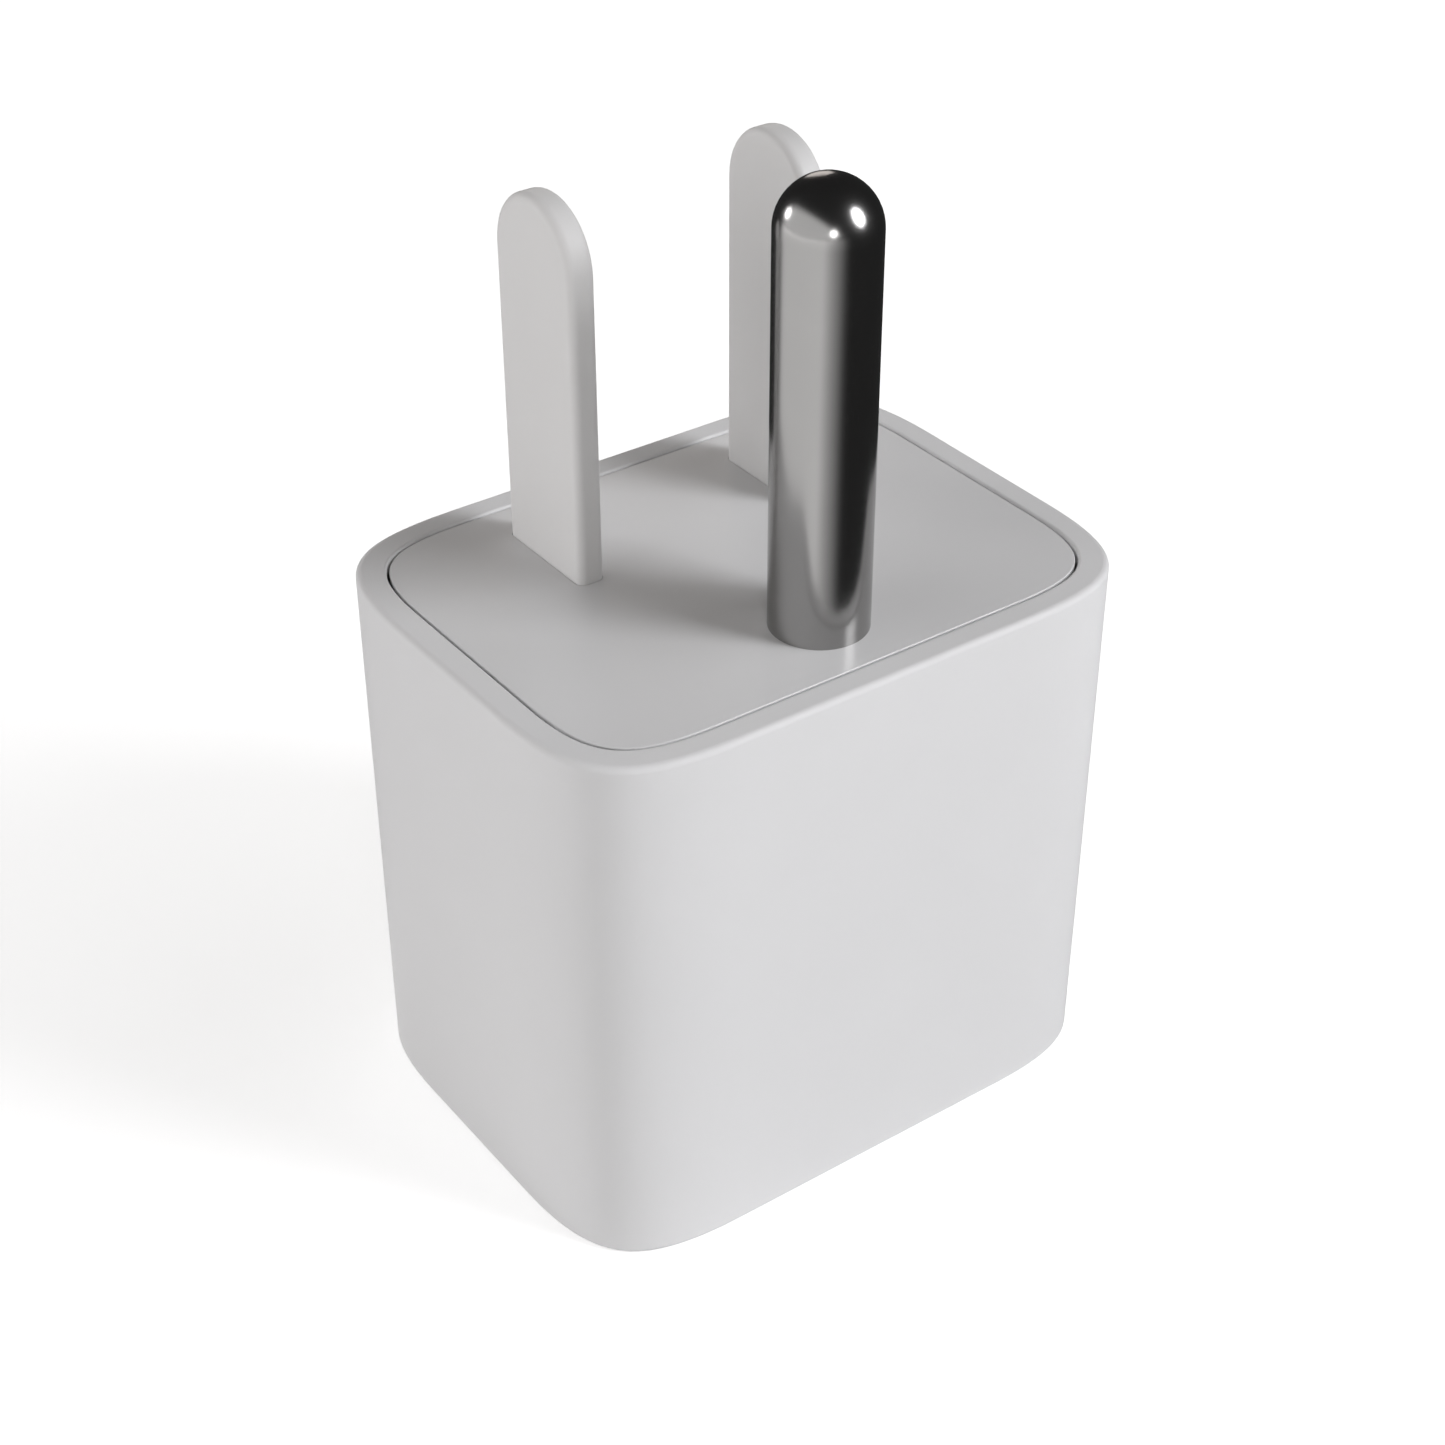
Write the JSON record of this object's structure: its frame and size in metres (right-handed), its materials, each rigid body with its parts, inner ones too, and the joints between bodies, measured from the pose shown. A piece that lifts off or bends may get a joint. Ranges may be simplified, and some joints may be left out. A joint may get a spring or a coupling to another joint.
{
  "type": "grounding plug adapter",
  "caption": "Oblong white plug body with flat plastic dummy blades, a domed metal earth pin and a 4 mm lead socket in its rear face.",
  "frame": {"origin": "centre of the body's rear face, on which it stands", "axes": "+Z along the pins, +X along the long side of the body and the line of the blades, -Y towards the earth pin"},
  "size_m": [0.0314, 0.024, 0.0497],
  "materials": {
    "body_plastic": "white satin moulded plastic",
    "plate_plastic": "white satin moulded plastic",
    "blade_plastic": "white matt moulded plastic",
    "polished_metal": "polished, turned",
    "inner_plastic": "natural moulded plastic",
    "zinc_steel": "zinc plated",
    "tinned_brass": "stamped and tinned",
    "bush_plastic": "white moulded plastic",
    "plated_brass": "nickel plated, turned",
    "board_laminate": "green lacquered laminate",
    "copper": "bare copper",
    "resistor_coating": "pale blue lacquer",
    "tinned_copper": "tinned copper wire",
    "solder": "soldered, smooth",
    "wire_sheath": "green sheath"
  },
  "bodies": {
    "root": {"housing": "body_plastic", "pin_plate": "plate_plastic", "left_blade": "blade_plastic", "right_blade": "blade_plastic", "earth_pin": "polished_metal", "pin_clamp": "inner_plastic", "clamp_screws": "zinc_steel", "pin_tag": "tinned_brass", "pin_spring_washer": "zinc_steel", "pin_nut": "zinc_steel", "socket_bush": "bush_plastic", "socket_barrel": "plated_brass", "socket_washer": "zinc_steel", "socket_nut": "inner_plastic", "socket_tag": "tinned_brass", "socket_tag_nut": "zinc_steel", "resistor_board": "board_laminate", "board_tracks": "copper", "resistor_body": "resistor_coating", "resistor_leads": "tinned_copper", "board_joints": "solder", "tag_joints": "solder", "pin_wire": "wire_sheath", "socket_wire": "wire_sheath", "pin_wire_core": "copper", "socket_wire_core": "copper"}
  },
  "joints": []
}
